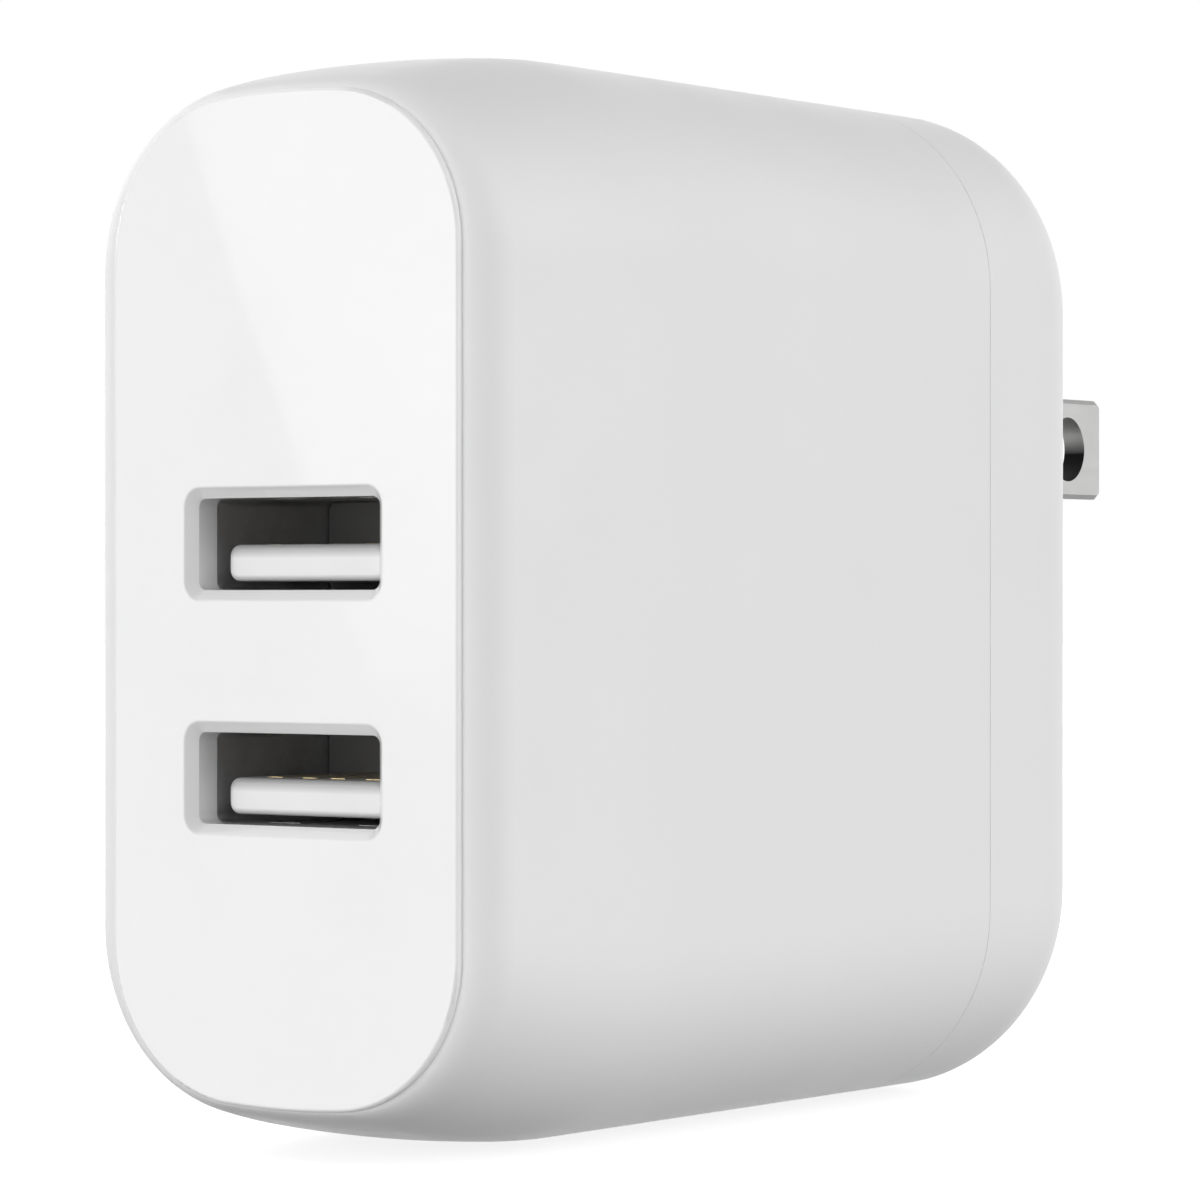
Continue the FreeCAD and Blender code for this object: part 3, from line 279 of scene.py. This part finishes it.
# Slot, maker, main colour, second colour and the maker's other values.
FINISHES = (
    ("face_gloss", gloss_white, (0.845, 0.845, 0.845), (0.825, 0.825, 0.827), 0.015),
    ("case_satin", satin_white, (0.80, 0.80, 0.80), (0.785, 0.785, 0.787), 0.48),
    ("rotor_satin", satin_white, (0.78, 0.78, 0.78), (0.75, 0.75, 0.75), 0.42),
    ("blade_nickel", blade_metal, (0.73, 0.73, 0.725), (0.67, 0.67, 0.665), 0.38),
    ("liner_steel", metal, (0.79, 0.79, 0.795), (0.71, 0.71, 0.71), 0.42),
    ("tongue_white", tongue_plastic, (0.80, 0.80, 0.80), (0.785, 0.785, 0.785)),
    ("contact_gold", metal, (0.83, 0.66, 0.34), (0.72, 0.55, 0.28), 0.24),
    ("spring_bronze", metal, (0.70, 0.50, 0.32), (0.55, 0.38, 0.24), 0.3, "Z"),
    ("inner_plastic", satin_white, (0.035, 0.035, 0.037), (0.05, 0.05, 0.05), 0.5),
    ("screw_steel", metal, (0.58, 0.58, 0.59), (0.45, 0.45, 0.46), 0.3, "Z"),
    ("wire_black", plain, (0.02, 0.02, 0.02), (0.035, 0.035, 0.035), 0.45),
    ("board_green", plain, (0.02, 0.11, 0.045), (0.03, 0.15, 0.06), 0.35),
    ("ferrite_grey", plain, (0.05, 0.05, 0.052), (0.08, 0.08, 0.08), 0.6),
    ("winding_copper", metal, (0.62, 0.28, 0.12), (0.45, 0.18, 0.08), 0.3, "Z"),
    ("tape_yellow", plain, (0.75, 0.52, 0.06), (0.68, 0.46, 0.05), 0.35),
    ("can_sleeve", plain, (0.02, 0.025, 0.05), (0.03, 0.035, 0.06), 0.3),
    ("can_bare", metal, (0.72, 0.72, 0.73), (0.62, 0.62, 0.63), 0.25, "Z"),
    ("chip_black", plain, (0.015, 0.015, 0.016), (0.03, 0.03, 0.03), 0.5),
    ("disc_blue", plain, (0.02, 0.09, 0.32), (0.03, 0.12, 0.38), 0.35),
    ("spreader_metal", metal, (0.76, 0.76, 0.77), (0.66, 0.66, 0.67), 0.32, "Z"),
    ("film_clear", plain, (0.62, 0.62, 0.58), (0.56, 0.56, 0.52), 0.25),
)
for slot, maker, *values in FINISHES:
    paint(slot, maker(slot, *values))


# ---------------------------------------------------------------- floor and backdrop

FLOOR_Z = CAD_BOX[0].z
STAGE_RADIUS = 3.0
STAGE_SIDES = 96
FLOOR_GLOW = 0.72
SCREEN_GLOW = (1.0, 1.02)


def stage_object(name, shape, material):
    """An object made from the bmesh, which is drawn at height 0 and lifted to the floor."""
    bmesh.ops.translate(shape, verts=shape.verts, vec=(0, 0, FLOOR_Z))
    mesh = bpy.data.meshes.new(name)
    shape.to_mesh(mesh)
    shape.free()
    mesh.materials.append(material)
    made = bpy.data.objects.new(name, mesh)
    SCENE.collection.objects.link(made)
    return made


def build_floor():
    """A pale floor that the object stands on; its own glow keeps it even out to the horizon."""
    t = Tree("floor")
    t.set(Base_Color=t.blend(t.noise(0.4, 2), (0.50, 0.50, 0.50), (0.49, 0.49, 0.49)), Roughness=0.6,
          Emission_Color=(1, 1, 1), Emission_Strength=FLOOR_GLOW)
    shape = bmesh.new()
    bmesh.ops.create_circle(shape, cap_ends=True, segments=STAGE_SIDES, radius=STAGE_RADIUS)
    floor = stage_object("floor", shape, t.material)
    floor.visible_diffuse = False
    floor.visible_glossy = False


def build_backdrop():
    """A plain white screen all round that only the camera sees, so the dome's light passes it."""
    t = Tree("backdrop")
    t.set(Base_Color=(0, 0, 0), Roughness=1.0, Specular_IOR_Level=0.0, Emission_Color=(1, 1, 1),
          Emission_Strength=t.spread(t.noise(0.6, 1), 0.3, 0.7, *SCREEN_GLOW))
    shape = bmesh.new()
    bmesh.ops.create_circle(shape, segments=STAGE_SIDES, radius=STAGE_RADIUS)
    raised = bmesh.ops.extrude_edge_only(shape, edges=shape.edges)["geom"]
    upper = [item for item in raised if isinstance(item, bmesh.types.BMVert)]
    bmesh.ops.translate(shape, verts=upper, vec=(0, 0, STAGE_RADIUS))
    screen = stage_object("backdrop", shape, t.material)
    screen.visible_diffuse = False
    screen.visible_glossy = False
    screen.visible_transmission = False
    screen.visible_volume_scatter = False
    screen.visible_shadow = False


# ---------------------------------------------------------------- light

# Soft lights of the studio: azimuth (0 is in front, 90 on the right), elevation, cosines of the
# angles from its middle at which it starts and is full, and strength.
WIDE = (0.75, 0.95)
SPOT = (0.94, 0.985)
BEHIND = (0.93, 0.98)
LIGHTS = (
    (0, 0, WIDE, 0.9),
    (-36, 0, SPOT, 2.8),
    (90, 30, WIDE, 1.5),
    (90, 0, WIDE, 0.68),
    (120, 0, WIDE, 0.69),
    (270, 30, WIDE, 1.45),
    (270, 60, WIDE, 0.35),
    (210, 0, WIDE, 1.2),
    (240, 0, WIDE, 0.25),
    (300, 0, WIDE, 0.28),
    (150, 0, WIDE, 0.25),
    (0, -30, WIDE, 0.36),
    (90, -30, WIDE, 0.16),
    (120, -30, WIDE, 0.2),
    (330, -30, WIDE, 0.17),
    (180, 38, WIDE, 0.3),
    (180, -38, WIDE, 0.25),
    (216, 2, BEHIND, 0.9),
)
DOME = 0.05
# The panel whose slanted edge shows in the polished face: the normal of the plane through its
# edge, the edge's softness, the middle of the panel (azimuth, elevation), the angles from that
# middle at which it starts and is full, and the heights between which its foot fades in.
PANEL_EDGE = (0.7375, -0.5997, 0.3106)
PANEL_SOFT = 0.002
PANEL_MIDDLE = (-20, 10)
PANEL_REACH = (30, 14)
PANEL_FOOT = (-0.05, 0.03)
PANEL_STRENGTH = 1.6


def direction(azimuth, elevation):
    a = math.radians(azimuth)
    e = math.radians(elevation)
    return (math.sin(a) * math.cos(e), -math.cos(a) * math.cos(e), math.sin(e))


def build_world():
    """All light comes from a plain studio dome of soft panels."""
    world = bpy.data.worlds.new("studio")
    world.use_nodes = True
    nodes = world.node_tree.nodes
    links = world.node_tree.links
    look = nodes.new("ShaderNodeTexCoord").outputs["Generated"]

    def dot(axis):
        node = nodes.new("ShaderNodeVectorMath")
        node.operation = "DOT_PRODUCT"
        node.inputs[1].default_value = axis
        links.new(look, node.inputs[0])
        return node.outputs["Value"]

    def smooth(value, low, high, strength=1.0):
        node = nodes.new("ShaderNodeMapRange")
        node.interpolation_type = "SMOOTHSTEP"
        node.inputs["From Min"].default_value = low
        node.inputs["From Max"].default_value = high
        node.inputs["To Max"].default_value = strength
        links.new(value, node.inputs["Value"])
        return node.outputs["Result"]

    def join(kind, first, second):
        node = nodes.new("ShaderNodeMath")
        node.operation = kind
        links.new(first, node.inputs[0])
        if isinstance(second, float):
            node.inputs[1].default_value = second
        else:
            links.new(second, node.inputs[1])
        return node.outputs["Value"]

    edge = smooth(dot(PANEL_EDGE), 0, PANEL_SOFT, PANEL_STRENGTH)
    reach = smooth(dot(direction(*PANEL_MIDDLE)), *(math.cos(math.radians(a)) for a in PANEL_REACH))
    foot = smooth(dot((0, 0, 1)), *PANEL_FOOT)
    panel = join("MULTIPLY", join("MULTIPLY", edge, reach), foot)
    total = join("ADD", panel, DOME)
    for azimuth, elevation, (start, full), strength in LIGHTS:
        total = join("ADD", total, smooth(dot(direction(azimuth, elevation)), start, full, strength))
    links.new(total, nodes["Background"].inputs["Strength"])
    nodes["Background"].inputs["Color"].default_value = (1, 1, 1, 1)
    SCENE.world = world


# ---------------------------------------------------------------- camera

# The photograph's camera: level with the object and turned from its front towards its right side.
# Distances are in metres, the lens and the sensor's width in millimetres.
CAMERA_TURN = math.radians(36.0)
CAMERA_AWAY = 0.28094
CAMERA_ASIDE = 0.00574
AIM_BEHIND_FACE = 20 * MM
LENS = 144.732
SENSOR = 36.0
CLIP_NEAR = 0.01
CLIP_FAR = 50.0


def build_camera():
    ahead = Vector((-math.sin(CAMERA_TURN), math.cos(CAMERA_TURN), 0))
    side = Vector((math.cos(CAMERA_TURN), math.sin(CAMERA_TURN), 0))
    aim = Vector((0, CAD_BOX[0].y + AIM_BEHIND_FACE, 0))
    data = bpy.data.cameras.new("camera")
    data.sensor_width = SENSOR
    data.lens = LENS
    data.clip_start = CLIP_NEAR
    data.clip_end = CLIP_FAR
    camera = bpy.data.objects.new("camera", data)
    camera.location = aim - ahead * CAMERA_AWAY + side * CAMERA_ASIDE
    camera.rotation_mode = "QUATERNION"
    camera.rotation_quaternion = ahead.to_track_quat("-Z", "Y")
    SCENE.collection.objects.link(camera)
    SCENE.camera = camera


SCENE.view_settings.view_transform = "Standard"
build_floor()
build_backdrop()
build_world()
build_camera()
